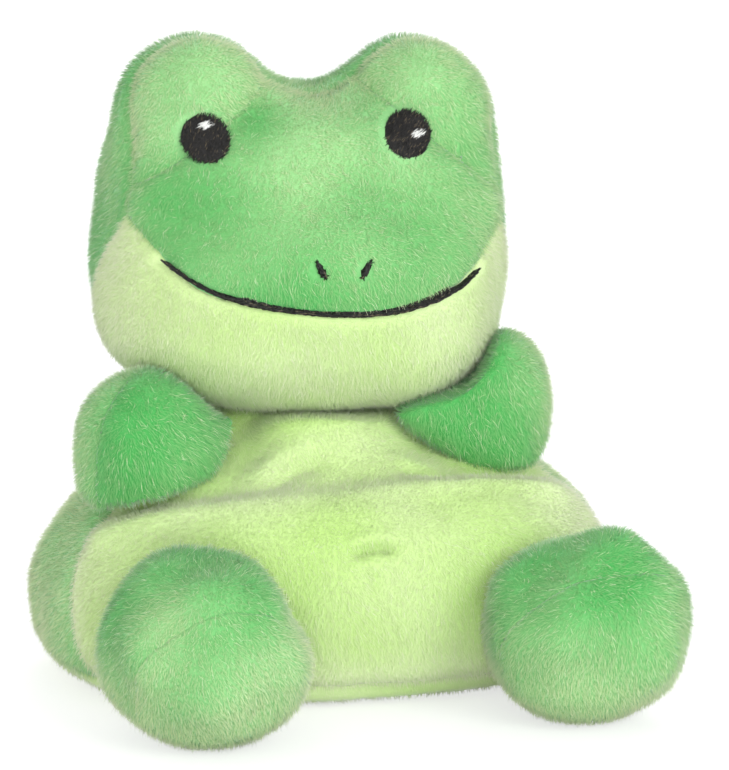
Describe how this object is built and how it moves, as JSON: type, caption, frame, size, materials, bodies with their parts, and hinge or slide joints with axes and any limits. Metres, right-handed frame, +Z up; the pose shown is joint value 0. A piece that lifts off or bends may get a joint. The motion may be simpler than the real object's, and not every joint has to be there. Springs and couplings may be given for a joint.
{
  "type": "plush frog",
  "caption": "Seated plush frog with a bean-weighted seat, a large head on a sewn neck, and short stuffed arms and legs that bend at their seams.",
  "frame": {"origin": "middle of the flat seat that the toy rests on, at the height of the floor", "axes": "+Z up; the face, belly and feet point towards -Y; +X is the frog's own left"},
  "size_m": [0.1138, 0.1171, 0.1265],
  "materials": {
    "leaf_pile": "short soft plush pile, leaf green with paler tips",
    "belly_pile": "short soft plush pile, pale yellow-green",
    "stuffing": "loose white polyester fibre",
    "pouch_cloth": "thin woven lining cloth",
    "pellets": "small smooth plastic beans",
    "black_thread": "satin-stitched embroidery thread",
    "white_thread": "satin-stitched embroidery thread"
  },
  "bodies": {
    "torso": {"belly_panel": "belly_pile", "back_panel_right": "leaf_pile", "back_panel_left": "leaf_pile", "seat_panel": "belly_pile", "torso_fill": "stuffing", "pouch_top": "pouch_cloth", "pouch_bottom": "pouch_cloth", "pellet_fill": "pellets"},
    "head": {"crown_panel": "leaf_pile", "eye_dome_right": "leaf_pile", "eye_dome_left": "leaf_pile", "chin_panel": "belly_pile", "head_back_panel": "leaf_pile", "head_fill": "stuffing", "eye_right": "black_thread", "eye_glint_right": "white_thread", "eye_left": "black_thread", "eye_glint_left": "white_thread", "nostril_right": "black_thread", "nostril_left": "black_thread", "mouth_line": "black_thread"},
    "arm_right": {"arm_right_front": "leaf_pile", "arm_right_back": "leaf_pile", "arm_right_fill": "stuffing"},
    "leg_right": {"foot_right_sole": "leaf_pile", "foot_right_upper": "leaf_pile", "foot_right_fill": "stuffing"},
    "arm_left": {"arm_left_front": "leaf_pile", "arm_left_back": "leaf_pile", "arm_left_fill": "stuffing"},
    "leg_left": {"foot_left_sole": "leaf_pile", "foot_left_upper": "leaf_pile", "foot_left_fill": "stuffing"}
  },
  "joints": [
    {"name": "neck_nod", "type": "hinge", "parent": "torso", "child": "head", "pos_m": [-0.00181, 0.00894, 0.05193], "axis": [1, 0, 0], "range_deg": [-8, 5], "stiffness_Nm_per_rad": 0.15},
    {"name": "shoulder_right_swing", "type": "hinge", "parent": "torso", "child": "arm_right", "pos_m": [-0.02421, -0.00182, 0.04831], "axis": [-0.0905, -0.0523, 0.9945], "range_deg": [-12, 12], "stiffness_Nm_per_rad": 0.01},
    {"name": "shoulder_left_swing", "type": "hinge", "parent": "torso", "child": "arm_left", "pos_m": [0.01982, 0.00219, 0.051], "axis": [0, 0, 1], "range_deg": [-12, 12], "stiffness_Nm_per_rad": 0.01},
    {"name": "hip_right_lift", "type": "hinge", "parent": "torso", "child": "leg_right", "pos_m": [-0.03658, -0.03821, 0.0179], "axis": [-0.9956, 0.0933, 0], "range_deg": [0, 14], "stiffness_Nm_per_rad": 0.02},
    {"name": "hip_left_lift", "type": "hinge", "parent": "torso", "child": "leg_left", "pos_m": [0.03658, -0.03821, 0.0179], "axis": [-0.9956, -0.0933, 0], "range_deg": [0, 14], "stiffness_Nm_per_rad": 0.02}
  ]
}
